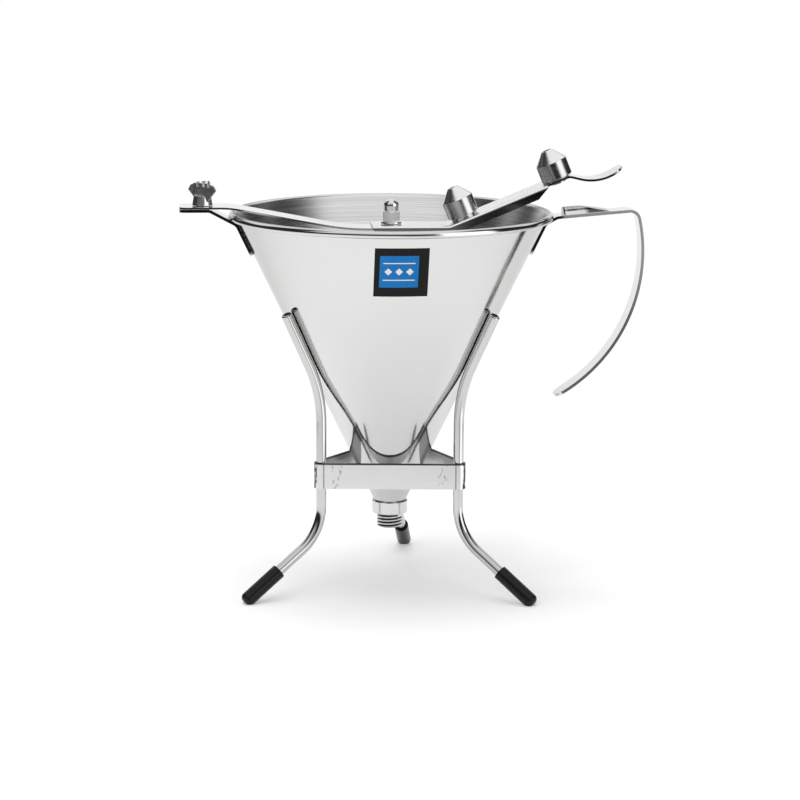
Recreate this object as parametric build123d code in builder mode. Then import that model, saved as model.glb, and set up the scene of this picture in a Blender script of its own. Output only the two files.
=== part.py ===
from build123d import *
from math import asin, atan2, cos, degrees, hypot, radians, sin, sqrt, tan
import os

# Confectionery funnel with a sprung lever valve, standing in a three-legged wire stand.
# Millimetres. Z is up and is the funnel's axis, the handle is towards +X, the front is towards -Y,
# and the origin is on the floor, under the outlet.

# Fits
SEAT_GAP = 0.3  # between pieces that can move apart
WELD_GAP = 0.05  # between curved faces that are welded together
FIX_GAP = 0.02  # radial, round a shaft that is fixed in its hole
TURN_GAP = 0.05  # radial, round a shaft that turns in its hole

# Funnel cone and its wired rim
RIM_TOP = 232.0
RIM_RADIUS = 98.0
BEAD_DIA = 4.4
CONE_SHEET = 1.0
CONE_FOOT_RADIUS = 10.0

# Outlet spigot, with the valve seat inside and the thread for a nozzle outside
OUTLET_TIP = 36.8
THREAD_DIA = 16.0
THREAD_PITCH = 2.0
THREAD_DEPTH = 1.0
THREAD_CREST = 0.5
THREAD_ROOT = 0.25
THREAD_LENGTH = 8.7
THREAD_CHAMFER = 0.8
COLLAR_DIA = 22.0
COLLAR_HEIGHT = 8.1
COLLAR_CHAMFER = 0.6
OUTLET_BORE_DIA = 11.0
VALVE_SEAT_DEPTH = 2.7

# Strips that are welded to the cone and turn out under the rim
STRIP_LEG_DROP = 26.0
STRIP_LEG_ANGLE = 28.0
STRIP_BEND_RADIUS = 5.0

# Spring bracket
BRACKET_SHEET = 1.8
BRACKET_WIDTH = 20.0
BRACKET_REACH = 29.3
BRACKET_CORNER = 3.0
STUD_REACH = 15.6
CLAMP_STUD_DIA = 6.0
CLAMP_STUD_LENGTH = 15.5
CLAMP_STUD_CHAMFER = 0.6

# Handle
HANDLE_SHEET = 1.8
HANDLE_WIDTH = 16.0
HANDLE_ROOT_OUT = 8.0
HANDLE_ROOT_DROP = 2.9
HANDLE_SLOPE = 4.9
HANDLE_REACH = 153.6
HANDLE_ARC_RADIUS = 100.5
HANDLE_ARC_DROP = 26.2
HANDLE_ARC_END = -61.5
HANDLE_CORNER_RADIUS = 6.0
HANDLE_TIP_ROUND = 7.4
RIB_LEAD = 1.5
RIB_LENGTH = 30.5
RIB_LEVEL = 9.0
RIB_HEIGHT = 4.4
RIB_WIDTH = 14.0
RIB_EASE_RADIUS = 24.0

# Label on the cone
LABEL_WIDTH = 31.4
LABEL_HEIGHT = 33.0
LABEL_TOP_DROP = 10.6
LABEL_SHEET = 0.15
LABEL_ANGLE = 270.2

# Leaf spring
LEAF_SHEET = 1.2
LEAF_WIDTH = 23.0
LEAF_RIM_CLEARANCE = 2.6
LEAF_KNEE_INSET = 1.0
LEAF_KNEE_RADIUS = 60.0
LEAF_SETTLE_X = -28.0
LEAF_SETTLE_RADIUS = 150.0
LEAF_END_X = 27.0
LEAF_CORNER = 4.0
CLAMP_HOLE_DIA = 6.6

# Lever: a folded channel that ends in a wavy thumb rest
CHANNEL_DROP = 7.6
CHANNEL_SHEET = 1.4
CHANNEL_WIDTH = 27.0
CHANNEL_DEPTH = 5.8
CHANNEL_FOLD_RADIUS = 2.0
CHANNEL_START_X = -11.8
CHANNEL_START_SLANT = 3.0
LEVER_BEND_X = 34.5
LEVER_BEND_RADIUS = 8.0
LEVER_RISE = 22.5
CHANNEL_SLOPE_LENGTH = 63.5
FLANGE_TAPER_LENGTH = 8.0
THUMB_WIDTH = 20.0
THUMB_CREST = 77.9
THUMB_CREST_RADIUS = 4.5
THUMB_DIP_ANGLE = 13.0
THUMB_DIP_LENGTH = 6.9
THUMB_CURL_RADIUS = 28.0
THUMB_CURL_END = 44.0
THUMB_END_ROUND = 8.0
ROD_HOLE_DIA = 7.6

# Spare nozzles and the studs that carry them, at their distances up the lever's slope
NOZZLE_PLACES = {"inner": 10.7, "outer": 71.5}
NOZZLE_LIFTS = {"inner": 1.6, "outer": 0.3}
NOZZLE_ORIFICES = {"inner": 3.0, "outer": 4.5}
NOZZLE_DIA = 19.1
NOZZLE_SKIRT = 10.4
NOZZLE_TAPER = 7.3
NOZZLE_TIP_DIA = 6.5
NOZZLE_SOCKET = 9.4
NOZZLE_SOCKET_GAP = 0.2
NOZZLE_EDGE = 0.3
NOZZLE_STUD_LENGTH = 8.0
RIVET_SHANK_DIA = 8.0
RIVET_HEAD_DIA = 9.6
RIVET_HEAD_HEIGHT = 1.5

# Plunger
ROD_DIA = 6.0
ROD_NUT_DEPTH = 9.0
WASHER_DIA = 12.5
WASHER_SHEET = 1.2
CAP_NUT_FLATS = 10.0
CAP_NUT_HEX = 6.6
CAP_NUT_CHAMFER_ANGLE = 30.0
CAP_NUT_DOME_DIA = 9.2
CAP_NUT_HEIGHT = 14.0
CAP_NUT_TURN = 28.0
LOCK_NUT_FLATS = 10.0
LOCK_NUT_HEIGHT = 3.2
LOCK_NUT_PLAY = 2.0
PLUG_RADIUS = 7.8
PLUG_NOSE_INSET = 0.4
PLUG_RIM_HEIGHT = 3.6
PLUG_NECK_HEIGHT = 7.6
PLUG_NECK_WALL = 1.4
ROD_PLUG_DEPTH = 8.0

# Wing nut: the outline of a wing is in distance from the axis and height
WING_HUB_DIA = 12.4
WING_HUB_TOP_DIA = 10.6
WING_HUB_HEIGHT = 5.6
WING_SETBACK = 3.4
WING_SHEET = 1.6
WING_TURN = -4.0
WING_OUTLINE = [
    (0.6, 1.0),
    (2.8, 1.0),
    (8.8, 9.0),
    (7.3, 11.8),
    (3.4, 13.7),
    (-3.7, 14.2),
    (-4.6, 13.0),
    (-4.6, 7.0),
    (-3.6, 6.0),
    (0.6, 6.0),
]
WING_CORNER = 0.5
WING_EDGE = 0.35
WING_NOTCHES = [(-2.4, 14.1), (1.2, 13.8), (4.1, 13.3)]
WING_NOTCH_WIDTH = 1.1
WING_NOTCH_DEPTH = 2.3

# Stand
ROD_LEG_DIA = 6.3
LEG_RADIUS = 48.0
STAND_TURN = -4.0
REAR_SWAY = -5.6
LEG_ANGLES = {
    "left": 210.0 + STAND_TURN,
    "right": 330.0 + STAND_TURN,
    "rear": 90.0 + STAND_TURN + REAR_SWAY,
}
ARM_TOP = 174.4
ARM_END_ROUND = 1.0
ARM_BEND_RADIUS = 80.0
FLARE_CORNER = 38.2
FLARE_ANGLE = 35.3
FLARE_BEND_RADIUS = 32.0
FOOT_AXIS_END = 1.0
FOOT_CAP_DIA = 9.0
FOOT_CAP_LENGTH = 28.5
FOOT_CAP_ROUND = 3.2
FOOT_LEG_INSET = 6.0
BAND_BASE = 66.2
BAND_HEIGHT = 15.8
BAND_SHEET = 1.2

# Heights that follow from the sizes above
collar_base = OUTLET_TIP + THREAD_LENGTH
collar_top = collar_base + COLLAR_HEIGHT
leaf_under = RIM_TOP + LEAF_RIM_CLEARANCE
leaf_top = leaf_under + LEAF_SHEET
tab_top = leaf_under - SEAT_GAP
tab_under = tab_top - BRACKET_SHEET
channel_top = RIM_TOP - CHANNEL_DROP
channel_under = channel_top - CHANNEL_SHEET
stud_x = -(RIM_RADIUS + STUD_REACH)
bracket_end_x = -(RIM_RADIUS + BRACKET_REACH)

# The cone's outer face leans out so that its inner face runs into the rim bead
bead_radius = BEAD_DIA / 2
bead_r = RIM_RADIUS - bead_radius
bead_z = RIM_TOP - bead_radius
bead_run = bead_r - CONE_FOOT_RADIUS
bead_rise = bead_z - collar_top
cone_angle = atan2(bead_run, bead_rise) - asin((bead_radius - CONE_SHEET) / hypot(bead_run, bead_rise))


def cone_radius(z):
    """Outer radius of the cone at a height."""
    return CONE_FOOT_RADIUS + (z - collar_top) * tan(cone_angle)


def from_bead(distance):
    """A point of the cone's wall beside the bead's centre, in radius and height."""
    return bead_r - distance * cos(cone_angle), bead_z + distance * sin(cone_angle)


def meet(p, p_angle, q, q_angle):
    """Where the line through p at p_angle crosses the line through q at q_angle, in degrees."""
    px, pz = cos(radians(p_angle)), sin(radians(p_angle))
    qx, qz = cos(radians(q_angle)), sin(radians(q_angle))
    along = ((q[0] - p[0]) * qz - (q[1] - p[1]) * qx) / (px * qz - pz * qx)
    return p[0] + along * px, p[1] + along * pz


def strip_foot(sheet):
    """Middle line of a strip's welded leg: its lower end, its knee and a point under the bead."""
    leg_z = RIM_TOP - STRIP_LEG_DROP
    leg_r = cone_radius(leg_z) + (WELD_GAP + sheet / 2) / cos(cone_angle)
    lift = bead_radius + WELD_GAP + sheet / 2
    under_bead = (
        bead_r + lift * sin(radians(STRIP_LEG_ANGLE)),
        bead_z - lift * cos(radians(STRIP_LEG_ANGLE)),
    )
    knee = meet((leg_r, leg_z), 90 - degrees(cone_angle), under_bead, STRIP_LEG_ANGLE)
    return (leg_r, leg_z), knee, under_bead


def radial_plane(angle):
    """Upright plane through the axis: its x runs outwards at the angle and its y runs up."""
    a = radians(angle)
    return Plane(origin=(0, 0, 0), x_dir=(cos(a), sin(a), 0), z_dir=(sin(a), -cos(a), 0))


def cut_thread(base, length):
    """Cuts a helical groove into the threaded shaft being built, upwards from the plane base."""
    helix = Helix(pitch=THREAD_PITCH, height=length, radius=THREAD_DIA / 2, mode=Mode.PRIVATE)
    path = base.location * helix
    mouth = (THREAD_PITCH - THREAD_CREST) / 2
    flank = (mouth - THREAD_ROOT / 2) / THREAD_DEPTH
    with BuildSketch(Plane(origin=path @ 0, x_dir=path @ 0 - base.origin, z_dir=path % 0)) as groove:
        with BuildLine():
            Polyline(
                (THREAD_DEPTH, mouth + flank * THREAD_DEPTH),
                (-THREAD_DEPTH, THREAD_ROOT / 2),
                (-THREAD_DEPTH, -THREAD_ROOT / 2),
                (THREAD_DEPTH, -mouth - flank * THREAD_DEPTH),
                close=True,
            )
        make_face()
    sweep(groove.sketch, path=path, is_frenet=True, mode=Mode.SUBTRACT)


os.makedirs("parts", exist_ok=True)


def keep(piece, label):
    """Labels a finished piece and writes it."""
    piece.part.label = label
    export_step(piece.part, f"parts/{label}.step")


# Funnel cone: a thin wall of revolution, rolled over a wire at the rim
with BuildPart() as funnel_cone:
    with BuildSketch(Plane.XZ):
        with BuildLine():
            Polyline(
                (CONE_FOOT_RADIUS, collar_top),
                from_bead(bead_radius - CONE_SHEET),
                from_bead(bead_radius),
                (CONE_FOOT_RADIUS - CONE_SHEET / cos(cone_angle), collar_top),
                close=True,
            )
        make_face()
        with Locations((bead_r, bead_z)):
            Circle(bead_radius)
    revolve(axis=Axis.Z)
keep(funnel_cone, "funnel_cone")

# Outlet spigot: collar under the cone, threaded neck, bore with a conical seat
bore_radius = OUTLET_BORE_DIA / 2
thread_radius = THREAD_DIA / 2
with BuildPart() as outlet_spigot:
    with BuildSketch(Plane.XZ):
        with BuildLine():
            Polyline(
                (bore_radius, OUTLET_TIP),
                (thread_radius - THREAD_CHAMFER, OUTLET_TIP),
                (thread_radius, OUTLET_TIP + THREAD_CHAMFER),
                (thread_radius, collar_base),
                (COLLAR_DIA / 2 - COLLAR_CHAMFER, collar_base),
                (COLLAR_DIA / 2, collar_base + COLLAR_CHAMFER),
                (COLLAR_DIA / 2, collar_top - COLLAR_CHAMFER),
                (COLLAR_DIA / 2 - COLLAR_CHAMFER, collar_top),
                (bore_radius + VALVE_SEAT_DEPTH, collar_top),
                (bore_radius, collar_top - VALVE_SEAT_DEPTH),
                close=True,
            )
        make_face()
    revolve(axis=Axis.Z)
    cut_thread(Plane.XY.offset(OUTLET_TIP - THREAD_PITCH), THREAD_LENGTH + THREAD_PITCH / 2)
keep(outlet_spigot, "outlet_spigot")

# Spring bracket: a strip from the cone's side to the tab that carries the leaf spring
leg_end, knee, under_bead = strip_foot(BRACKET_SHEET)
tab_middle = tab_top - BRACKET_SHEET / 2
tab_corner = meet(under_bead, STRIP_LEG_ANGLE, (0, tab_middle), 0)
with BuildPart() as spring_bracket:
    with BuildSketch(Plane.XZ):
        with BuildLine():
            FilletPolyline(
                (-leg_end[0], leg_end[1]),
                (-knee[0], knee[1]),
                (-tab_corner[0], tab_corner[1]),
                (bracket_end_x, tab_middle),
                radius=STRIP_BEND_RADIUS,
            )
        trace(line_width=BRACKET_SHEET)
    extrude(amount=BRACKET_WIDTH / 2, both=True)
    tab_ends = spring_bracket.faces().sort_by(Axis.X)[0]
    leg_ends = spring_bracket.faces().sort_by(Axis.Z)[0]
    fillet(
        tab_ends.edges().sort_by(SortBy.LENGTH)[:2] + leg_ends.edges().sort_by(SortBy.LENGTH)[:2],
        radius=BRACKET_CORNER,
    )
    with Locations((stud_x, 0, tab_top)):
        Hole(CLAMP_STUD_DIA / 2 + FIX_GAP, depth=BRACKET_SHEET * 2)
keep(spring_bracket, "spring_bracket")

# Clamp stud: stands in the tab and goes up through the leaf spring and the wing nut
with BuildPart() as clamp_stud:
    with BuildSketch(Plane.XY.offset(tab_under)):
        with Locations((stud_x, 0)):
            Circle(CLAMP_STUD_DIA / 2)
    extrude(amount=CLAMP_STUD_LENGTH)
    chamfer(clamp_stud.edges().sort_by(Axis.Z)[-1], CLAMP_STUD_CHAMFER)
keep(clamp_stud, "clamp_stud")

# Handle: one bent strip with a stiffening rib near its root
leg_end, knee, under_bead = strip_foot(HANDLE_SHEET)
top_point = (RIM_RADIUS + HANDLE_ROOT_OUT, RIM_TOP - HANDLE_ROOT_DROP)
root = meet(under_bead, STRIP_LEG_ANGLE, top_point, HANDLE_SLOPE)
arc_radius = HANDLE_ARC_RADIUS - HANDLE_SHEET / 2
arc_center = (HANDLE_REACH - HANDLE_ARC_RADIUS, RIM_TOP - HANDLE_ARC_DROP)
slope_x, slope_z = cos(radians(HANDLE_SLOPE)), sin(radians(HANDLE_SLOPE))

# The corner's centre lies one corner radius under the top run and inside the arc
low_x = top_point[0] + HANDLE_CORNER_RADIUS * slope_z - arc_center[0]
low_z = top_point[1] - HANDLE_CORNER_RADIUS * slope_x - arc_center[1]
inner_radius = arc_radius - HANDLE_CORNER_RADIUS
ahead = low_x * slope_x + low_z * slope_z
corner_run = -ahead + sqrt(ahead**2 - (low_x**2 + low_z**2 - inner_radius**2))
corner_center = Vector(
    arc_center[0] + low_x + corner_run * slope_x, arc_center[1] + low_z + corner_run * slope_z
)
arc_start = degrees(atan2(corner_center.Y - arc_center[1], corner_center.X - arc_center[0]))
with BuildPart() as handle:
    with BuildSketch(Plane.XZ):
        with BuildLine():
            FilletPolyline(
                leg_end,
                knee,
                root,
                (
                    corner_center.X - HANDLE_CORNER_RADIUS * slope_z,
                    corner_center.Y + HANDLE_CORNER_RADIUS * slope_x,
                ),
                radius=STRIP_BEND_RADIUS,
            )
            CenterArc(
                corner_center, HANDLE_CORNER_RADIUS, 90 + HANDLE_SLOPE, arc_start - 90 - HANDLE_SLOPE
            )
            CenterArc(arc_center, arc_radius, arc_start, HANDLE_ARC_END - arc_start)
        trace(line_width=HANDLE_SHEET)
    extrude(amount=HANDLE_WIDTH / 2, both=True)
    end_angle = radians(HANDLE_ARC_END)
    tip_point = (
        arc_center[0] + arc_radius * cos(end_angle), 0, arc_center[1] + arc_radius * sin(end_angle)
    )
    tip_face = handle.faces().sort_by_distance(tip_point)[0]
    leg_face = handle.faces().sort_by_distance((leg_end[0], 0, leg_end[1]))[0]
    fillet(tip_face.edges().sort_by(SortBy.LENGTH)[:2], radius=HANDLE_TIP_ROUND)
    fillet(leg_face.edges().sort_by(SortBy.LENGTH)[:2], radius=BRACKET_CORNER)
    rib_plane = Plane(
        origin=(top_point[0], 0, top_point[1]), x_dir=(slope_x, 0, slope_z), z_dir=(0, -1, 0)
    )
    rib_top = HANDLE_SHEET / 2 + RIB_HEIGHT
    rib_radius = (RIB_WIDTH**2 / 4 + RIB_HEIGHT**2) / (2 * RIB_HEIGHT)
    with BuildPart(mode=Mode.PRIVATE) as rib:
        with BuildSketch(rib_plane) as rib_side:
            with BuildLine():
                Polyline(
                    (-RIB_LEAD, 0),
                    (-RIB_LEAD, rib_top),
                    (RIB_LEVEL, rib_top),
                    (RIB_LENGTH, 0),
                    close=True,
                )
            make_face()
            fillet(rib_side.vertices().sort_by_distance((RIB_LEVEL, rib_top))[0], RIB_EASE_RADIUS)
        extrude(amount=HANDLE_WIDTH / 2, both=True)
        with BuildSketch(Plane(rib_plane.origin, x_dir=(0, 1, 0), z_dir=rib_plane.x_dir)):
            with Locations((0, rib_top - rib_radius)):
                Circle(rib_radius)
        extrude(amount=RIB_LENGTH, both=True, mode=Mode.INTERSECT)
    add(rib.part)
keep(handle, "handle")

# Blank label: a thin sheet that lies on the cone's front
label_top = RIM_TOP - LABEL_TOP_DROP
label_bottom = label_top - LABEL_HEIGHT * cos(cone_angle)
label_low = cone_radius(label_bottom) + FIX_GAP / cos(cone_angle)
label_high = cone_radius(label_top) + FIX_GAP / cos(cone_angle)
label_wall = LABEL_SHEET / cos(cone_angle)
label_sweep = 3 * degrees(asin(LABEL_WIDTH / 2 / label_low))
label_turn = radians(LABEL_ANGLE)
label_plane = Plane(
    origin=(0, 0, 0),
    x_dir=(-sin(label_turn), cos(label_turn), 0),
    z_dir=(cos(label_turn), sin(label_turn), 0),
)
with BuildPart() as blank_label:
    with BuildSketch(radial_plane(LABEL_ANGLE - label_sweep / 2)):
        with BuildLine():
            Polyline(
                (label_low, label_bottom),
                (label_high, label_top),
                (label_high + label_wall, label_top),
                (label_low + label_wall, label_bottom),
                close=True,
            )
        make_face()
    revolve(axis=Axis.Z, revolution_arc=label_sweep)
    with BuildSketch(label_plane):
        Rectangle(LABEL_WIDTH, 2 * RIM_TOP)
    extrude(amount=2 * RIM_RADIUS, mode=Mode.INTERSECT)
keep(blank_label, "blank_label")

# Leaf spring: clamped on the tab, over the rim, and flat under the lever's channel
leaf_high = leaf_under + LEAF_SHEET / 2
leaf_low = channel_under - LEAF_SHEET / 2
with BuildPart() as leaf_spring:
    with BuildSketch(Plane.XZ):
        with BuildLine():
            FilletPolyline(
                (bracket_end_x, leaf_high),
                (LEAF_KNEE_INSET - RIM_RADIUS, leaf_high),
                (LEAF_SETTLE_X, leaf_low),
                (LEAF_END_X, leaf_low),
                radius=[LEAF_KNEE_RADIUS, LEAF_SETTLE_RADIUS],
            )
        trace(line_width=LEAF_SHEET)
    extrude(amount=LEAF_WIDTH / 2, both=True)
    leaf_ends = leaf_spring.faces().sort_by(Axis.X)
    fillet(leaf_ends[0].edges().sort_by(SortBy.LENGTH)[:2], radius=LEAF_CORNER)
    fillet(leaf_ends[-1].edges().sort_by(SortBy.LENGTH)[:2], radius=LEAF_CORNER)
    with Locations((stud_x, 0, leaf_top)):
        Hole(CLAMP_HOLE_DIA / 2, depth=2 * LEAF_SHEET)
    with Locations((0, 0, channel_under)):
        Hole(ROD_HOLE_DIA / 2, depth=2 * LEAF_SHEET)
keep(leaf_spring, "leaf_spring")

# Lever: flat over the rod, then up a slope to the thumb rest
rise_x, rise_z = cos(radians(LEVER_RISE)), sin(radians(LEVER_RISE))


def on_slope(along, below=0.0):
    """A point of the lever's slope, past its bend and below its top face."""
    return (
        LEVER_BEND_X + along * rise_x + below * rise_z,
        channel_top + along * rise_z - below * rise_x,
    )


def slope_plane(along):
    """A plane on the slope's top face, with its normal out of the face."""
    x, z = on_slope(along)
    return Plane(origin=(x, 0, z), x_dir=(rise_x, 0, rise_z), z_dir=(-rise_z, 0, rise_x))


web_middle = CHANNEL_SHEET / 2
flange_cut = CHANNEL_DEPTH + CHANNEL_SHEET
crest = on_slope(THUMB_CREST, web_middle)
dip_x, dip_z = cos(radians(THUMB_DIP_ANGLE)), -sin(radians(THUMB_DIP_ANGLE))
dip_end = (crest[0] + THUMB_DIP_LENGTH * dip_x, crest[1] + THUMB_DIP_LENGTH * dip_z)
curl_center = (dip_end[0] - THUMB_CURL_RADIUS * dip_z, dip_end[1] + THUMB_CURL_RADIUS * dip_x)
with BuildPart() as lever_channel:
    with BuildLine(Plane.XZ) as web_run:
        FilletPolyline(
            (CHANNEL_START_X, channel_top),
            (LEVER_BEND_X, channel_top),
            on_slope(CHANNEL_SLOPE_LENGTH),
            radius=LEVER_BEND_RADIUS,
        )
    with BuildSketch(
        Plane(origin=(CHANNEL_START_X, 0, channel_top), x_dir=(0, 1, 0), z_dir=(1, 0, 0))
    ) as section:
        Rectangle(CHANNEL_WIDTH, CHANNEL_DEPTH, align=(Align.CENTER, Align.MAX))
        fillet(section.vertices().group_by(Axis.Y)[-1], CHANNEL_FOLD_RADIUS)
        with Locations((0, -CHANNEL_SHEET)):
            Rectangle(
                CHANNEL_WIDTH - 2 * CHANNEL_SHEET,
                CHANNEL_DEPTH,
                align=(Align.CENTER, Align.MAX),
                mode=Mode.SUBTRACT,
            )
    sweep(path=web_run.line)
    with BuildSketch(Plane.XZ):
        with BuildLine():
            Polyline(
                (CHANNEL_START_X, channel_under),
                (CHANNEL_START_X + CHANNEL_START_SLANT, channel_top - flange_cut),
                (CHANNEL_START_X - CHANNEL_START_SLANT, channel_top - flange_cut),
                close=True,
            )
        make_face()
        with BuildLine():
            Polyline(
                on_slope(CHANNEL_SLOPE_LENGTH, CHANNEL_SHEET),
                on_slope(CHANNEL_SLOPE_LENGTH - FLANGE_TAPER_LENGTH, CHANNEL_DEPTH),
                on_slope(CHANNEL_SLOPE_LENGTH - FLANGE_TAPER_LENGTH, flange_cut),
                on_slope(CHANNEL_SLOPE_LENGTH + FLANGE_TAPER_LENGTH, flange_cut),
                close=True,
            )
        make_face()
    extrude(amount=CHANNEL_WIDTH, both=True, mode=Mode.SUBTRACT)
    with BuildSketch(Plane.XZ):
        with BuildLine():
            FilletPolyline(
                on_slope(CHANNEL_SLOPE_LENGTH - CHANNEL_DEPTH, web_middle),
                crest,
                dip_end,
                radius=THUMB_CREST_RADIUS,
            )
            CenterArc(
                curl_center,
                THUMB_CURL_RADIUS,
                -90 - THUMB_DIP_ANGLE,
                THUMB_DIP_ANGLE + THUMB_CURL_END,
            )
        trace(line_width=CHANNEL_SHEET)
    extrude(amount=THUMB_WIDTH / 2, both=True)
    thumb_end = lever_channel.faces().sort_by(Axis.X)[-1]
    fillet(thumb_end.edges().sort_by(SortBy.LENGTH)[:2], radius=THUMB_END_ROUND)
    with Locations((0, 0, channel_top)):
        Hole(ROD_HOLE_DIA / 2, depth=2 * CHANNEL_SHEET)
    for place in NOZZLE_PLACES.values():
        with Locations(slope_plane(place)):
            Hole(RIVET_SHANK_DIA / 2 + FIX_GAP, depth=2 * CHANNEL_SHEET)
keep(lever_channel, "lever_channel")

# Nozzle studs, riveted through the lever, and the spare nozzles that are screwed on them
socket_radius = THREAD_DIA / 2 + NOZZLE_SOCKET_GAP
nozzle_height = NOZZLE_SKIRT + NOZZLE_TAPER
for name, place in NOZZLE_PLACES.items():
    base = slope_plane(place)
    with BuildPart() as nozzle_stud:
        with BuildSketch(base):
            Circle(THREAD_DIA / 2)
        extrude(amount=NOZZLE_STUD_LENGTH)
        stud_top = nozzle_stud.faces().sort_by(Axis(base.origin, base.z_dir))[-1]
        chamfer(stud_top.edges(), THREAD_CHAMFER)
        with BuildSketch(base):
            Circle(RIVET_SHANK_DIA / 2)
        extrude(amount=-CHANNEL_SHEET)
        with BuildSketch(base.offset(-CHANNEL_SHEET)):
            Circle(RIVET_HEAD_DIA / 2)
        extrude(amount=-RIVET_HEAD_HEIGHT)
        cut_thread(base.offset(THREAD_PITCH), NOZZLE_STUD_LENGTH)
    keep(nozzle_stud, f"nozzle_stud_{name}")

    seat = base.offset(NOZZLE_LIFTS[name])
    orifice_radius = NOZZLE_ORIFICES[name] / 2
    with BuildPart() as nozzle:
        with BuildSketch(Plane(origin=seat.origin, x_dir=seat.x_dir, z_dir=-seat.y_dir)):
            with BuildLine():
                Polyline(
                    (socket_radius, 0),
                    (NOZZLE_DIA / 2, 0),
                    (NOZZLE_DIA / 2, NOZZLE_SKIRT),
                    (NOZZLE_TIP_DIA / 2, nozzle_height),
                    (orifice_radius, nozzle_height),
                    (orifice_radius, nozzle_height - NOZZLE_ORIFICES[name] / 2),
                    (socket_radius, NOZZLE_SOCKET),
                    close=True,
                )
            make_face()
        revolve(axis=Axis(seat.origin, seat.z_dir))
        widest = nozzle.edges().filter_by(GeomType.CIRCLE).group_by(SortBy.RADIUS)[-1]
        fillet(widest, NOZZLE_EDGE)
    keep(nozzle, f"nozzle_{name}")

# Plunger: rod on the axis, hung from the lever by a cap nut and a washer
washer_base = channel_top + SEAT_GAP
nut_base = washer_base + WASHER_SHEET
lock_nut_top = channel_under - LEAF_SHEET - LOCK_NUT_PLAY
seat_drop = SEAT_GAP * sqrt(2)
plug_edge = collar_top - VALVE_SEAT_DEPTH + (PLUG_RADIUS - bore_radius) + seat_drop
nose_radius = bore_radius - PLUG_NOSE_INSET
nose_edge = plug_edge - (PLUG_RADIUS - nose_radius)
plug_top = plug_edge + PLUG_RIM_HEIGHT + PLUG_NECK_HEIGHT
rod_radius = ROD_DIA / 2
rod_hole = rod_radius + FIX_GAP

with BuildPart() as plunger_rod:
    with BuildSketch(Plane.XY.offset(plug_top - ROD_PLUG_DEPTH)):
        Circle(rod_radius)
    extrude(amount=nut_base + ROD_NUT_DEPTH - plug_top + ROD_PLUG_DEPTH)
keep(plunger_rod, "plunger_rod")

with BuildPart() as valve_plug:
    with BuildSketch(Plane.XZ):
        with BuildLine():
            Polyline(
                (0, nose_edge),
                (nose_radius, nose_edge),
                (PLUG_RADIUS, plug_edge),
                (PLUG_RADIUS, plug_edge + PLUG_RIM_HEIGHT),
                (rod_hole + PLUG_NECK_WALL, plug_top),
                (rod_hole, plug_top),
                (rod_hole, plug_top - ROD_PLUG_DEPTH - FIX_GAP),
                (0, plug_top - ROD_PLUG_DEPTH - FIX_GAP),
                close=True,
            )
        make_face()
    revolve(axis=Axis.Z)
keep(valve_plug, "valve_plug")

with BuildPart() as cap_washer:
    with BuildSketch(Plane.XY.offset(washer_base)):
        Circle(WASHER_DIA / 2)
        Circle(rod_hole, mode=Mode.SUBTRACT)
    extrude(amount=WASHER_SHEET)
keep(cap_washer, "cap_washer")

dome_radius = CAP_NUT_DOME_DIA / 2
hex_top = nut_base + CAP_NUT_HEX
corner_drop = (CAP_NUT_FLATS - dome_radius) * tan(radians(CAP_NUT_CHAMFER_ANGLE))
with BuildPart() as cap_nut:
    with BuildSketch(Plane.XY.offset(nut_base)):
        RegularPolygon(CAP_NUT_FLATS / 2, 6, major_radius=False, rotation=CAP_NUT_TURN)
    extrude(amount=CAP_NUT_HEX)
    with BuildSketch(Plane.XZ):
        with BuildLine():
            Polyline(
                (dome_radius, hex_top),
                (CAP_NUT_FLATS, hex_top),
                (CAP_NUT_FLATS, hex_top - corner_drop),
                close=True,
            )
        make_face()
    revolve(axis=Axis.Z, mode=Mode.SUBTRACT)
    with BuildSketch(Plane.XY.offset(nut_base)):
        Circle(dome_radius)
    extrude(amount=CAP_NUT_HEIGHT)
    fillet(cap_nut.edges().sort_by(Axis.Z)[-1], dome_radius - FIX_GAP)
    with BuildSketch(Plane.XY.offset(nut_base)):
        Circle(rod_hole)
    extrude(amount=ROD_NUT_DEPTH + FIX_GAP, mode=Mode.SUBTRACT)
keep(cap_nut, "cap_nut")

with BuildPart() as lock_nut:
    with BuildSketch(Plane.XY.offset(lock_nut_top)):
        RegularPolygon(LOCK_NUT_FLATS / 2, 6, major_radius=False)
        Circle(rod_hole, mode=Mode.SUBTRACT)
    extrude(amount=-LOCK_NUT_HEIGHT)
keep(lock_nut, "lock_nut")

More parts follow.
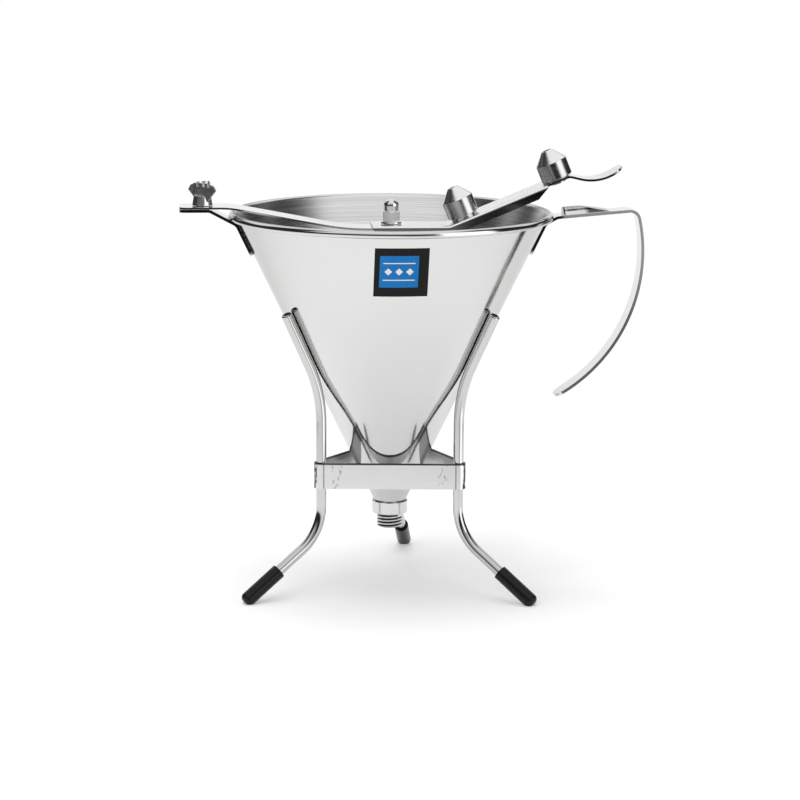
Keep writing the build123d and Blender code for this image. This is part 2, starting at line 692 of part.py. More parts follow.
# Wing nut: a tapered hub with a toothed wing on each of two sides
wing_turn = radians(WING_TURN)
wing_x, wing_y = cos(wing_turn), sin(wing_turn)
wing_plane = Plane(
    origin=(stud_x, 0, leaf_top + SEAT_GAP), x_dir=(wing_x, wing_y, 0), z_dir=(wing_y, -wing_x, 0)
)
wing_hole = CLAMP_STUD_DIA / 2 + TURN_GAP
with BuildPart() as wing_nut:
    with BuildSketch(wing_plane):
        with BuildLine():
            Polyline(
                (wing_hole, 0),
                (WING_HUB_DIA / 2, 0),
                (WING_HUB_TOP_DIA / 2, WING_HUB_HEIGHT),
                (wing_hole, WING_HUB_HEIGHT),
                close=True,
            )
        make_face()
    revolve(axis=Axis(wing_plane.origin, wing_plane.y_dir))
    for side in (1, -1):
        face = wing_plane.offset(side * WING_SETBACK)
        with BuildPart(mode=Mode.PRIVATE) as wing:
            with BuildSketch(face) as outline:
                with BuildLine():
                    Polyline(*[(side * x, z) for x, z in WING_OUTLINE], close=True)
                make_face()
                fillet(outline.vertices(), WING_CORNER)
            extrude(amount=side * WING_SHEET)
            outer_face = wing.faces().sort_by(Axis(wing_plane.origin, wing_plane.z_dir * side))[-1]
            chamfer(outer_face.edges(), WING_EDGE)
            with BuildSketch(face):
                for x, z in WING_NOTCHES:
                    with Locations((side * x, z)):
                        Rectangle(WING_NOTCH_WIDTH, 2 * WING_NOTCH_DEPTH)
            extrude(amount=side * WING_SHEET, mode=Mode.SUBTRACT)
        add(wing.part)
keep(wing_nut, "wing_nut")

# Stand: three bent rods with capped feet, held together by a band
leg_rod_radius = ROD_LEG_DIA / 2
arm_offset = (leg_rod_radius + SEAT_GAP) / cos(cone_angle)
arm_end = (cone_radius(ARM_TOP) + arm_offset, ARM_TOP)
arm_corner = (LEG_RADIUS, collar_top + (LEG_RADIUS - arm_offset - CONE_FOOT_RADIUS) / tan(cone_angle))
flare_corner = (LEG_RADIUS, FLARE_CORNER)
flare = radians(FLARE_ANGLE)
foot_end = (LEG_RADIUS + (FLARE_CORNER - FOOT_AXIS_END) / tan(flare), FOOT_AXIS_END)


def up_leg(distance):
    """A point of a leg's foot axis, back from the cap's end."""
    return foot_end[0] - distance * cos(flare), foot_end[1] + distance * sin(flare)


for name, angle in LEG_ANGLES.items():
    upright = radial_plane(angle)
    with BuildPart() as leg:
        with BuildLine(upright) as leg_run:
            FilletPolyline(
                arm_end,
                arm_corner,
                flare_corner,
                up_leg(FOOT_LEG_INSET),
                radius=[ARM_BEND_RADIUS, FLARE_BEND_RADIUS],
            )
        with BuildSketch(Plane(origin=leg_run.line @ 0, z_dir=leg_run.line % 0)):
            Circle(leg_rod_radius)
        sweep(path=leg_run.line)
        fillet(leg.faces().sort_by(Axis.Z)[-1].edges(), ARM_END_ROUND)
    keep(leg, f"leg_{name}")

    cap_mouth = upright.from_local_coords(Vector(*up_leg(FOOT_CAP_LENGTH)))
    cap_tip = upright.from_local_coords(Vector(*foot_end))
    with BuildPart() as foot_cap:
        with BuildSketch(Plane(origin=cap_mouth, z_dir=cap_tip - cap_mouth)):
            Circle(FOOT_CAP_DIA / 2)
        extrude(amount=FOOT_CAP_LENGTH)
        fillet(foot_cap.faces().sort_by_distance(cap_tip)[0].edges(), FOOT_CAP_ROUND)
        with BuildSketch(Plane(origin=cap_mouth, z_dir=cap_tip - cap_mouth)):
            Circle(leg_rod_radius + FIX_GAP)
        extrude(amount=FOOT_CAP_LENGTH - FOOT_LEG_INSET + FIX_GAP, mode=Mode.SUBTRACT)
        split(bisect_by=Plane.XY, keep=Keep.TOP)
    keep(foot_cap, f"foot_cap_{name}")

# Band: wraps the three legs
band_inside = leg_rod_radius + WELD_GAP
leg_places = [
    (LEG_RADIUS * cos(radians(angle)), LEG_RADIUS * sin(radians(angle))) for angle in LEG_ANGLES.values()
]
with BuildPart() as stand_band:
    with BuildSketch(Plane.XY.offset(BAND_BASE)):
        with Locations(*leg_places):
            Circle(band_inside + BAND_SHEET)
        make_hull()
    extrude(amount=BAND_HEIGHT)
    with BuildSketch(Plane.XY.offset(BAND_BASE)):
        with Locations(*leg_places):
            Circle(band_inside)
        make_hull()
    extrude(amount=BAND_HEIGHT, mode=Mode.SUBTRACT)
keep(stand_band, "stand_band")
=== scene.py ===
from math import cos, radians, sin

import bmesh
import bpy
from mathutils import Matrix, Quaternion, Vector


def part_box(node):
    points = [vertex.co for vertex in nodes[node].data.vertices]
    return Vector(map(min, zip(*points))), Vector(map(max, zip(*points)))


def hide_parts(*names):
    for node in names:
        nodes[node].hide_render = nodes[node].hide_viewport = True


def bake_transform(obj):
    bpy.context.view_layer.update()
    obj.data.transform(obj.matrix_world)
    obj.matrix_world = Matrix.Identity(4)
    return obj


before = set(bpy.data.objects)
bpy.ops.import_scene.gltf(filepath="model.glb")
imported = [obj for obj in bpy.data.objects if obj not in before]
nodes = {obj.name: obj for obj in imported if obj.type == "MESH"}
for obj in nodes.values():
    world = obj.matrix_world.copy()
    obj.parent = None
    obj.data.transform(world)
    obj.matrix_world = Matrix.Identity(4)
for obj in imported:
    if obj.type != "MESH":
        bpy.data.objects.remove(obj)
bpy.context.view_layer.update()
scene = bpy.context.scene
scene.view_settings.view_transform = "Standard"

# Places on the solids that the materials follow, in metres
SIDES = ("left", "right", "rear")
UP = (0, 0, 1)
BAND_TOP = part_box("stand_band")[1].z
BAND_OUTSIDE = 0.0044
LEG_RADIUS = 0.048
LEG_ANGLES = [radians(angle) for angle in (206.0, 326.0, 80.4)]
LABEL_LOW, LABEL_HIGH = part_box("blank_label")
THREAD_LENGTH = 0.0087
THREAD_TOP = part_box("outlet_spigot")[0].z + THREAD_LENGTH
THREAD_ROOT = 0.0071
THREAD_CREST = 0.0078
LEVER_RISE = radians(22.5)
LEVER_UP = (-sin(LEVER_RISE), 0, cos(LEVER_RISE))
RIB_ROOT = (0.106, 0, 0.2291)
RIB_SLOPE = radians(4.9)
RIB_WIDTH = 0.014
RIB_LENGTH = 0.031
RIB_ABOVE = 0.0011

# Depth of fine marks, and the small radius that eases sharp edges, in metres
MARK_DEPTH = 0.0004
EDGE = 0.0004

# Ranges over which a mask eases from none to all
CUT_FACE = (0.8, 0.95)
MIDDLE_NOISE = (0.25, 0.75)


class Nodes:
    """A node tree, with short ways to add and link its nodes."""

    def __init__(self, tree):
        self.tree = tree

    def add(self, kind, **settings):
        node = self.tree.nodes.new(kind)
        for name, value in settings.items():
            setattr(node, name, value)
        return node

    def put(self, socket, value):
        """Links a socket, or sets its value."""
        if isinstance(value, bpy.types.NodeSocket):
            self.tree.links.new(value, socket)
        else:
            socket.default_value = value

    def math(self, operation, a, b=0.0, c=0.0):
        node = self.add("ShaderNodeMath", operation=operation)
        for socket, value in zip(node.inputs, (a, b, c)):
            self.put(socket, value)
        return node.outputs[0]

    def vector(self, operation, a, b=(0.0, 0.0, 0.0)):
        node = self.add("ShaderNodeVectorMath", operation=operation)
        self.put(node.inputs[0], a)
        self.put(node.inputs[1], b)
        return node.outputs["Value" if operation in ("DOT_PRODUCT", "LENGTH") else "Vector"]

    def level(self, vector):
        """A vector without its rise."""
        return self.vector("MULTIPLY", vector, (1, 1, 0))

    def split(self, vector):
        node = self.add("ShaderNodeSeparateXYZ")
        self.put(node.inputs[0], vector)
        return node.outputs

    def span(self, value, start, end, low=0.0, high=1.0):
        """Eases from low to high while value goes from start to end."""
        node = self.add("ShaderNodeMapRange", interpolation_type="SMOOTHSTEP")
        for socket, number in zip(node.inputs, (value, start, end, low, high)):
            self.put(socket, number)
        return node.outputs[0]

    def mix(self, factor, a, b, blend="MIX"):
        node = self.add("ShaderNodeMix", data_type="RGBA", blend_type=blend)
        self.put(node.inputs["Factor"], factor)
        self.put(node.inputs[6], a)
        self.put(node.inputs[7], b)
        return node.outputs[2]

    def product(self, *factors):
        total = factors[0]
        for factor in factors[1:]:
            total = self.math("MULTIPLY", total, factor)
        return total

    def largest(self, *values):
        top = values[0]
        for value in values[1:]:
            top = self.math("MAXIMUM", top, value)
        return top

    def rays(self):
        """Masks of rays: straight from the camera, mirrored by gloss, and scattered by a dull surface."""
        path = self.add("ShaderNodeLightPath").outputs
        straight = self.largest(path["Is Camera Ray"], path["Is Transmission Ray"])
        return straight, path["Is Glossy Ray"], path["Is Diffuse Ray"]


class Shader(Nodes):
    """A procedural material. Its patterns read object coordinates, in metres."""

    def __init__(self, name, **sockets):
        self.material = bpy.data.materials.new(name)
        self.material.use_nodes = True
        super().__init__(self.material.node_tree)
        self.surface = self.tree.nodes["Principled BSDF"]
        for socket, value in sockets.items():
            self.surface.inputs[socket.replace("_", " ")].default_value = value
        coordinates = self.add("ShaderNodeTexCoord").outputs
        self.place = coordinates["Object"]
        self.normal = coordinates["Normal"]

    def drive(self, socket, value):
        self.put(self.surface.inputs[socket], value)

    def moved(self, scale, turn=(0, 0, 0)):
        """Object coordinates, turned and then scaled."""
        turned = self.add("ShaderNodeMapping")
        self.put(turned.inputs["Vector"], self.place)
        turned.inputs["Rotation"].default_value = turn
        scaled = self.add("ShaderNodeMapping")
        self.put(scaled.inputs["Vector"], turned.outputs["Vector"])
        scaled.inputs["Scale"].default_value = scale
        return scaled.outputs["Vector"]

    def noise(self, vector, scale=1.0, detail=2.0, roughness=0.5):
        node = self.add("ShaderNodeTexNoise")
        self.put(node.inputs["Vector"], vector)
        node.inputs["Scale"].default_value = scale
        node.inputs["Detail"].default_value = detail
        node.inputs["Roughness"].default_value = roughness
        return node.outputs["Fac"]

    def facing(self, axis):
        """How squarely the surface faces one way or the other along an axis."""
        return self.math("ABSOLUTE", self.split(self.normal)[axis])

    def inwards(self):
        """How squarely the surface faces the funnel's axis."""
        to_axis = self.vector("NORMALIZE", self.vector("MULTIPLY", self.place, (-1, -1, 0)))
        return self.vector("DOT_PRODUCT", self.normal, to_axis)

    def tone(self, mask, level):
        """Lays a grey over the colour where the mask is high."""
        base = self.surface.inputs["Base Color"].links[0].from_socket
        self.drive("Base Color", self.mix(mask, base, grey(level)))

    def dull(self, mask, rough):
        """Makes the surface rougher where the mask is high."""
        base = self.surface.inputs["Roughness"].links[0].from_socket
        self.drive("Roughness", self.math("MAXIMUM", base, self.math("MULTIPLY", mask, rough)))

    def bump(self, height, strength, distance, edge=0.0):
        """Fine relief, over edges that are eased by a small radius."""
        node = self.add("ShaderNodeBump")
        node.inputs["Strength"].default_value = strength
        node.inputs["Distance"].default_value = distance
        self.put(node.inputs["Height"], height)
        if edge:
            eased = self.add("ShaderNodeBevel", samples=6)
            eased.inputs["Radius"].default_value = edge
            self.put(node.inputs["Normal"], eased.outputs["Normal"])
        self.drive("Normal", node.outputs["Normal"])


def grey(value):
    """A steel grey, slightly warm."""
    return (value, value, value * 0.995, 1.0)


def middle_of(node):
    low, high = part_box(node)
    return tuple((low + high) / 2)


def steel(name, level, rough, grain, turn=(0, 0, 0), relief=0.02, spread=0.06, edge=0.0, **sockets):
    """Stainless steel whose fine marks run along the axis where grain is small."""
    contrast = 0.045
    mark_share = 0.6
    shader = Shader(name, Metallic=1.0, **sockets)
    marks = shader.noise(shader.moved(grain, turn), detail=3.0, roughness=0.6)
    cloud = shader.noise(shader.place, scale=38.0, detail=4.0)
    marked = shader.math("MULTIPLY", marks, mark_share)
    shade = shader.math("MULTIPLY_ADD", cloud, 1.0 - mark_share, marked)
    shader.drive("Base Color", shader.mix(shade, grey(level - contrast), grey(level + contrast)))
    shader.drive("Roughness", shader.span(marks, *MIDDLE_NOISE, low=rough - spread, high=rough + spread))
    shader.bump(marks, relief, MARK_DEPTH, edge)
    return shader


def spun_cone():
    """Polished outside, with painted light making its lower part lighter; brushed round and round inside.
    """
    lower_part = (0.17, 0.08)
    inner_face = (-0.3, 0.3)
    inner_blur = 0.15
    ring_depth = 0.0005
    shader = Shader("spun_steel", Metallic=1.0, Anisotropic=0.55, Specular_Tint=grey(0.84))
    rings = shader.noise(shader.moved((4, 4, 640)), detail=5.0, roughness=0.7)
    cloud = shader.noise(shader.place, scale=24.0, detail=5.0)
    shade = shader.math("MULTIPLY_ADD", rings, 0.5, shader.math("MULTIPLY", cloud, 0.5))
    upper = shader.mix(shade, grey(0.64), grey(0.67))
    # Painted light: the lower outside is a lighter grey than the upper
    lower = shader.mix(shade, grey(0.68), grey(0.71))
    outer = shader.mix(shader.span(shader.split(shader.place)["Z"], *lower_part), upper, lower)
    inner = shader.mix(shader.span(rings, 0.3, 0.7), grey(0.6), grey(0.82))
    inside = shader.span(shader.inwards(), *inner_face)
    shader.drive("Base Color", shader.mix(inside, outer, inner))
    polish = shader.span(rings, 0.2, 0.8, low=0.07, high=0.12)
    shader.drive("Roughness", shader.math("MULTIPLY_ADD", inside, inner_blur, polish))
    around = shader.add("ShaderNodeTangent", direction_type="RADIAL", axis="Z")
    shader.drive("Tangent", around.outputs["Tangent"])
    shader.bump(shader.math("MULTIPLY", rings, inside), 0.05, ring_depth)
    return shader


def painted_side_shade(shader, sides, ends=None):
    """A strip with painted shade on its cut sides, to the front and back, and on its cut ends."""
    shader.tone(shader.span(shader.facing("Y"), *CUT_FACE), sides)
    if ends:
        shader.tone(shader.span(shader.facing("X"), *CUT_FACE), ends)
    return shader


def hook_strip():
    """Polished strip. Its cut sides are rougher on the hook and carry painted shade, darkest low down, and
    its rib is outlined in painted shade.
    """
    hook_start = (0.1, 0.106)
    leg_end = (0.104, 0.1)
    hook_fall = (0.21, 0.16)
    rib_margin = 0.0005
    crown_side = (0.0066, 0.0052)
    crown_start = (0.009, 0.017)
    ridge_side = (0.0038, 0.0028)
    tail_start = (0.0105, 0.0145)
    lip_end = -0.0007
    shader = steel(
        "polished_strip", level=0.72, rough=0.1, grain=(30, 700, 700), relief=0.01, spread=0.03, edge=EDGE
    )
    x, y, z = shader.split(shader.place)
    off_middle = shader.math("ABSOLUTE", y)
    beside_rib = shader.math("GREATER_THAN", off_middle, RIB_WIDTH / 2 + rib_margin)
    cut = shader.product(beside_rib, shader.span(shader.facing("Y"), *CUT_FACE))
    shader.dull(shader.product(cut, shader.span(x, *hook_start)), rough=0.42)
    # Painted shade on the cut sides, darkest low down and towards the leg
    shader.tone(shader.product(cut, shader.span(z, *hook_fall, low=0.3, high=0.9)), level=0.12)
    shader.tone(shader.product(cut, shader.span(x, *leg_end)), level=0.2)
    from_root = shader.vector("SUBTRACT", shader.place, RIB_ROOT)
    along = shader.vector("DOT_PRODUCT", from_root, (cos(RIB_SLOPE), 0, sin(RIB_SLOPE)))
    above = shader.vector("DOT_PRODUCT", from_root, (-sin(RIB_SLOPE), 0, cos(RIB_SLOPE)))
    on_rib = shader.product(
        shader.math("GREATER_THAN", above, RIB_ABOVE), shader.math("LESS_THAN", along, RIB_LENGTH)
    )
    crown = shader.product(
        shader.span(off_middle, *crown_side), shader.span(along, *crown_start, high=0.95)
    )
    ridge = shader.span(off_middle, *ridge_side, high=0.7)
    tail = shader.span(along, *tail_start, high=0.9)
    lip = shader.math("LESS_THAN", along, lip_end)
    # Painted shade outlining the rib's crown, ridge, tail and lip
    for outline, level in ((crown, 0.03), (ridge, 0.2), (tail, 0.04), (lip, 0.04)):
        shader.tone(shader.product(on_rib, outline), level)
    return shader


def drawn_rod():
    """Round bar, bright outside, with painted shade on the side turned to the funnel."""
    inner_side = (0.8, 0.87)
    shader = steel("drawn_rod", level=0.56, rough=0.1, grain=(1100, 1100, 18), relief=0.01, spread=0.03)
    # Painted shade on the side turned to the funnel
    shader.tone(shader.span(shader.inwards(), *inner_side), level=0.02)
    return shader


def banded():
    """Satin strip with painted shade inside, along its upper edge and at its fold round each leg, and dark
    mottled marks and scuffs at each leg.
    """
    wrap_margin = 0.0006
    fold_out = 0.0003
    fold_half = 0.00016
    wrap_face = (0.88, 0.96)
    scuff_out = 0.0105
    scuff_half = 0.0028
    inner_face = (0.2, 0.4)
    upper_edge = (BAND_TOP - 0.0012, BAND_TOP - 0.0006)
    shader = steel("satin_band", level=0.72, rough=0.24, grain=(16, 16, 900), relief=0.01, spread=0.03)
    flat = shader.level(shader.place)
    folds = []
    wrap_marks = []
    scuffs = []
    for angle in LEG_ANGLES:
        outwards = (cos(angle), sin(angle), 0)
        from_leg = shader.vector("SUBTRACT", flat, tuple(LEG_RADIUS * part for part in outwards))
        distance = shader.vector("LENGTH", from_leg)
        faced = shader.vector("DOT_PRODUCT", shader.vector("NORMALIZE", from_leg), outwards)
        close = shader.math("LESS_THAN", distance, BAND_OUTSIDE + wrap_margin)
        folds.append(shader.math("COMPARE", distance, BAND_OUTSIDE + fold_out, fold_half))
        wrap_marks.append(shader.product(close, shader.span(faced, *wrap_face)))
        scuffs.append(shader.math("COMPARE", distance, scuff_out, scuff_half))
    specks = shader.noise(shader.moved((700, 700, 260)), detail=3.0)
    scuffed = shader.span(specks, 0.56, 0.64, high=0.6)
    shader.tone(shader.product(shader.largest(*scuffs), scuffed), level=0.3)
    # Painted shade: a dark line where the band folds round each leg
    shader.tone(shader.product(shader.largest(*folds), 0.75), level=0.25)
    # Dark mottled marks on the outward face of each wrap round a leg
    shader.tone(shader.product(shader.largest(*wrap_marks), shader.span(specks, 0.4, 0.5)), level=0.03)
    # Painted shade on the band's inner faces
    shader.tone(shader.span(shader.inwards(), *inner_face, high=0.65), level=0.25)
    # Painted shade: a dark line along the upper edge
    shader.tone(shader.span(shader.split(shader.place)["Z"], *upper_edge), level=0.04)
    return shader


def turned(name, level, rough, axis, centre, turn=(0, 0, 0)):
    """Lathe marks round an axis."""
    shader = steel(name, level, rough, grain=(40, 40, 1000), turn=turn, spread=0.03, Anisotropic=0.65)
    arm = shader.vector("SUBTRACT", shader.place, centre)
    around = shader.vector("NORMALIZE", shader.vector("CROSS_PRODUCT", axis, arm))
    shader.drive("Tangent", around)
    return shader


def screw_nozzle(place):
    """Turned skirt, with painted light on the taper above it."""
    taper_face = (0.2, 0.5)
    centre = middle_of(f"nozzle_{place}")
    shader = turned(f"turned_{place}", 0.56, 0.2, LEVER_UP, centre, (0, LEVER_RISE, 0))
    along = shader.vector("DOT_PRODUCT", shader.normal, LEVER_UP)
    # Painted light: the upward-facing taper is a lighter grey than the skirt
    shader.tone(shader.span(along, *taper_face, high=0.85), level=0.86)
    return shader


def spigot():
    """Turned collar and neck, with painted shade in the thread's grooves."""
    shader = turned("turned_spigot", 0.62, 0.17, UP, middle_of("outlet_spigot"))
    reach = shader.vector("LENGTH", shader.level(shader.place))
    below = shader.math("LESS_THAN", shader.split(shader.place)["Z"], THREAD_TOP)
    # Painted shade in the thread's grooves
    shader.tone(shader.product(below, shader.span(reach, THREAD_CREST, THREAD_ROOT)), level=0.03)
    return shader


def vinyl():
    """Black dipped sleeve with a faint grain in its skin."""
    skin_depth = 0.0003
    shader = Shader("black_vinyl", Specular_IOR_Level=0.1, Coat_Weight=0.3, Coat_Roughness=0.05)
    skin = shader.noise(shader.place, scale=900.0, detail=3.0)
    cloud = shader.noise(shader.place, scale=70.0, detail=3.0)
    shader.drive("Base Color", shader.mix(cloud, (0.003, 0.003, 0.0034, 1), (0.007, 0.007, 0.0075, 1)))
    shader.drive("Roughness", shader.span(cloud, *MIDDLE_NOISE, low=0.24, high=0.36))
    shader.bump(skin, 0.12, skin_depth)
    return shader


def label_film():
    """Printed film: a blue panel on black, with white lines and lozenges."""
    panel_left = 0.0014
    panel_up = 0.0006
    panel_half_width = 0.0112
    panel_half_height = 0.0098
    line_up = 0.0052
    line_half = 0.0003
    line_reach = 0.0092
    lozenge_half_pitch = 0.0031
    lozenge_half = 0.0022
    lozenge_reach = 0.0093
    fibre_depth = 0.0002
    shader = Shader("label_film", Specular_IOR_Level=0.12)
    middle = (LABEL_LOW + LABEL_HIGH) / 2
    place = shader.split(shader.place)
    along = shader.math("SUBTRACT", place["X"], middle.x - panel_left)
    across = shader.math("ABSOLUTE", along)
    up = shader.math("ABSOLUTE", shader.math("SUBTRACT", place["Z"], middle.z + panel_up))
    panel = shader.product(
        shader.math("LESS_THAN", across, panel_half_width), shader.math("LESS_THAN", up, panel_half_height)
    )
    lines = shader.product(
        shader.math("COMPARE", up, line_up, line_half), shader.math("LESS_THAN", across, line_reach)
    )
    each = shader.math("ABSOLUTE", shader.math("WRAP", along, lozenge_half_pitch, -lozenge_half_pitch))
    lozenges = shader.product(
        shader.math("LESS_THAN", shader.math("ADD", each, up), lozenge_half),
        shader.math("LESS_THAN", across, lozenge_reach),
    )
    fibre = shader.noise(shader.place, scale=1400.0, detail=2.0)
    ground = shader.mix(fibre, (0.006, 0.006, 0.007, 1), (0.01, 0.01, 0.011, 1))
    blue = shader.mix(fibre, (0.006, 0.16, 0.47, 1), (0.01, 0.18, 0.51, 1))
    printed = shader.mix(panel, ground, blue)
    white = shader.largest(lines, lozenges)
    shader.drive("Base Color", shader.mix(white, printed, (0.78, 0.79, 0.8, 1)))
    shader.drive("Roughness", shader.span(fibre, 0.2, 0.8, low=0.26, high=0.36))
    shader.bump(fibre, 0.03, fibre_depth)
    return shader


def dress(piece, shader):
    piece.data.materials.clear()
    piece.data.materials.append(shader.material)


# Materials, each with the marks that its way of making leaves, and some with painted shade or light
STRIP_GRAIN = (20, 1000, 1000)
rod = drawn_rod()
neck = spigot()
black = vinyl()
# Strips with painted shade on their cut sides and ends
strip = painted_side_shade(
    steel("brushed_strip", level=0.78, rough=0.18, grain=STRIP_GRAIN, relief=0.03, edge=EDGE), sides=0.12
)
channel = painted_side_shade(
    steel("folded_strip", level=0.82, rough=0.18, grain=STRIP_GRAIN, relief=0.03, edge=EDGE),
    sides=0.2,
    ends=0.05,
)
spring = painted_side_shade(
    steel("spring_strip", level=0.78, rough=0.13, grain=(14, 800, 800), spread=0.04, edge=EDGE),
    sides=0.35,
    ends=0.08,
)
fastener = steel("fastener_steel", level=0.72, rough=0.09, grain=(90, 90, 500), spread=0.03, edge=EDGE)
wing = steel("wing_steel", level=0.8, rough=0.26, grain=(160, 160, 420), spread=0.02, edge=EDGE)
finishes = {
    "funnel_cone": spun_cone(),
    "stand_band": banded(),
    "outlet_spigot": neck,
    "valve_plug": neck,
    "handle": hook_strip(),
    "spring_bracket": strip,
    "lever_channel": channel,
    "plunger_rod": rod,
    "clamp_stud": fastener,
    "cap_nut": fastener,
    "cap_washer": fastener,
    "lock_nut": fastener,
    "wing_nut": wing,
    "blank_label": label_film(),
}
for side in SIDES:
    finishes[f"leg_{side}"] = rod
    finishes[f"foot_cap_{side}"] = black
for place in ("inner", "outer"):
    nozzle = screw_nozzle(place)
    finishes[f"nozzle_{place}"] = nozzle
    finishes[f"nozzle_stud_{place}"] = nozzle
for node, shader in finishes.items():
    dress(nodes[node], shader)

# Leaf spring: the solid's shape, cut across its length at even steps
LEAF_STEP = 0.003
leaf_low, leaf_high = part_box("leaf_spring")
leaf = bpy.data.objects.new("leaf_spring_bent", nodes["leaf_spring"].data.copy())
scene.collection.objects.link(leaf)
cuts = bmesh.new()
cuts.from_mesh(leaf.data)
for step in range(1, int((leaf_high.x - leaf_low.x) / LEAF_STEP)):
    bmesh.ops.bisect_plane(
        cuts,
        geom=cuts.verts[:] + cuts.edges[:] + cuts.faces[:],
        plane_co=(leaf_low.x + step * LEAF_STEP, 0, 0),
        plane_no=(1, 0, 0),
    )
cuts.to_mesh(leaf.data)
cuts.free()
dress(leaf, spring)
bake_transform(leaf)
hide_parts("leaf_spring")

# Studio that the metal reflects: the floor and the world share its dim level, back and right light
WHITE = (1, 1, 1, 1)
SHADE = 0.03
BACK_SECTOR = (0.62, 0.35)
RIGHT_LIGHT = (0.777, -0.629, 0)
RIGHT_SPREAD = (0.9, 0.965)
RIGHT_GAIN = 1.8


def floor_paper():
    """Pale near the object, to hold its soft shadow, and white further out. Metal reflects it dim far in
    front and at the sides, dimmed a little on one bearing, and light at the back and at the right."""
    near_colour = (0.8, 0.8, 0.8, 1)
    far_colour = (0.02, 0.02, 0.02, 1)
    near_glow = 0.29
    bounce = 0.9
    whitening = (0.22, 0.55)
    clearing = (0.26, 0.4)
    front_end = (-0.95, -0.5)
    side_end = (0.42, 0.8)
    back_start = (0.3, 0.6)
    dim_bearing = (0.31, -0.951, 0)
    dim_spread = (0.95, 0.99)
    dim_share = 0.35
    shader = Shader("white_floor", Roughness=0.9, Specular_IOR_Level=0.0, Emission_Color=WHITE)
    straight, mirrored, scattered = shader.rays()
    place = shader.split(shader.place)
    away = shader.vector("LENGTH", shader.place)
    bearing = shader.vector("NORMALIZE", shader.place)
    far_out = shader.span(away, *whitening)
    clear = shader.span(away, *clearing)
    front = shader.span(place["Y"], *front_end, low=SHADE)
    beside = shader.span(shader.math("ABSOLUTE", place["X"]), *side_end, low=1.0, high=SHADE)
    dimmed = shader.span(shader.vector("DOT_PRODUCT", bearing, dim_bearing), *dim_spread, high=dim_share)
    plain = shader.product(front, beside, shader.math("SUBTRACT", 1.0, shader.product(clear, dimmed)))
    sideways = shader.math("ABSOLUTE", shader.split(bearing)["X"])
    behind = shader.product(shader.span(sideways, *BACK_SECTOR), shader.span(place["Y"], *back_start))
    to_right = shader.span(shader.vector("DOT_PRODUCT", bearing, RIGHT_LIGHT), *RIGHT_SPREAD)
    reflected = shader.largest(plain, behind, shader.product(to_right, clear, RIGHT_GAIN))
    pale = shader.mix(far_out, near_colour, far_colour)
    sheet = shader.mix(mirrored, WHITE, reflected)
    shader.drive("Base Color", shader.mix(1.0, pale, sheet, blend="MULTIPLY"))
    glow = shader.math("MULTIPLY_ADD", far_out, 1.0 - near_glow, near_glow)
    seen = shader.math("ADD", straight, shader.product(mirrored, reflected))
    shown = shader.math("MULTIPLY_ADD", scattered, bounce, seen)
    shader.drive("Emission Strength", shader.product(shown, glow))
    return shader


def light_room(world):
    """White to look at. Metal reflects a dim room with a white backdrop, a broad soft light overhead,
    one low at the right and a faint front wall."""
    ambient = 0.42
    wall_glow = 0.45
    backdrop_top = (0.22, 0.3)
    backdrop_front = (-0.05, 0.3)
    overhead_edge = (0.32, 0.46)
    overhead_sides = (0.96, 0.86)
    overhead_front = (-0.6, -0.9)
    front_lift = 0.2
    zenith_edge = (0.82, 0.92)
    right_top = (0.62, 0.45)
    wall_foot = (0.1, 0.45)
    wall_sector = (-0.2, -0.6)
    world.use_nodes = True
    sky = Nodes(world.node_tree)
    direction = sky.add("ShaderNodeTexCoord").outputs["Generated"]
    height = sky.split(direction)["Z"]
    bearing = sky.vector("NORMALIZE", sky.level(direction))
    compass = sky.split(bearing)
    north = compass["Y"]
    sideways = sky.math("ABSOLUTE", compass["X"])
    backdrop = sky.product(
        sky.span(height, *backdrop_top, low=1.0, high=0.0),
        sky.span(north, *backdrop_front),
        sky.span(sideways, *BACK_SECTOR),
    )
    lowered = sky.math("SUBTRACT", height, sky.span(north, *overhead_front, high=front_lift))
    overhead = sky.product(sky.span(lowered, *overhead_edge), sky.span(sideways, *overhead_sides))
    zenith = sky.span(height, *zenith_edge)
    to_right = sky.span(sky.vector("DOT_PRODUCT", bearing, RIGHT_LIGHT), *RIGHT_SPREAD)
    right_light = sky.product(to_right, sky.span(height, *right_top), RIGHT_GAIN)
    front_wall = sky.product(sky.span(height, *wall_foot), sky.span(north, *wall_sector), wall_glow)
    room = sky.largest(backdrop, overhead, zenith, right_light, front_wall, SHADE)
    straight, mirrored, _ = sky.rays()
    others = sky.math("SUBTRACT", 1.0, sky.largest(straight, mirrored))
    seen = sky.math("ADD", straight, sky.product(mirrored, room))
    background = world.node_tree.nodes["Background"]
    background.inputs["Color"].default_value = WHITE
    sky.put(background.inputs["Strength"], sky.math("MULTIPLY_ADD", others, ambient, seen))


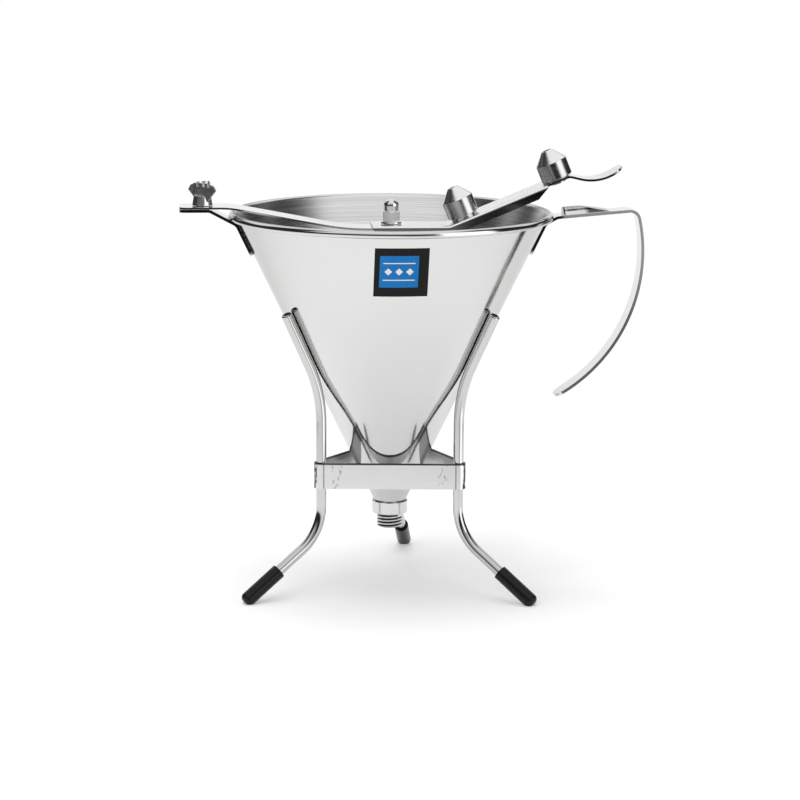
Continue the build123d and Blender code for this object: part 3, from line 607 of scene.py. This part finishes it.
def softbox(name, place, aim, size, power):
    """A square lamp that lights the object and doesn't show in its reflections."""
    lamp = bpy.data.lights.new(name, "AREA")
    lamp.shape = "SQUARE"
    lamp.size = size
    lamp.energy = power
    holder = bpy.data.objects.new(name, lamp)
    holder.location = place
    holder.rotation_euler = (Vector(aim) - Vector(place)).to_track_quat("-Z", "Y").to_euler()
    holder.visible_glossy = False
    scene.collection.objects.link(holder)


# Floor, world and lamps
FLOOR_SIZE = 24.0
FLOOR_DROP = 0.0002
half = FLOOR_SIZE / 2
floor_mesh = bpy.data.meshes.new("floor")
floor_mesh.from_pydata(
    [(-half, -half, 0), (half, -half, 0), (half, half, 0), (-half, half, 0)], [], [(0, 1, 2, 3)]
)
floor = bpy.data.objects.new("floor", floor_mesh)
floor.location.z = -FLOOR_DROP
scene.collection.objects.link(floor)
dress(floor, floor_paper())
scene.world = bpy.data.worlds.new("studio")
light_room(scene.world)
softbox("top_softbox", place=(-0.1, 0.06, 2.0), aim=(0, 0, 0), size=1.4, power=26.0)
softbox("front_softbox", place=(-1.3, -2.0, 1.6), aim=(0, 0, 0.12), size=1.6, power=24.0)

# Camera at the photograph's angle
CAMERA_TURN = radians(4.0)
CAMERA_RUN = 1.468
CAMERA_HEIGHT = 0.409
CAMERA_AIM = Vector((0, 0, 0.1157))
CAMERA_ROLL = radians(0.3)
IMAGE_PIXELS = 800
FOCAL_PIXELS = 2442
AXIS_PIXEL = 390.2
lens = bpy.data.cameras.new("camera")
lens.sensor_width = 36.0
lens.lens = FOCAL_PIXELS / IMAGE_PIXELS * lens.sensor_width
lens.shift_x = (IMAGE_PIXELS / 2 - AXIS_PIXEL) / IMAGE_PIXELS
lens.clip_end = 100.0
camera = bpy.data.objects.new("camera", lens)
camera.location = (-CAMERA_RUN * sin(CAMERA_TURN), -CAMERA_RUN * cos(CAMERA_TURN), CAMERA_HEIGHT)
aim = (CAMERA_AIM - camera.location).to_track_quat("-Z", "Y")
camera.rotation_euler = (aim @ Quaternion(UP, CAMERA_ROLL)).to_euler()
scene.collection.objects.link(camera)
scene.camera = camera
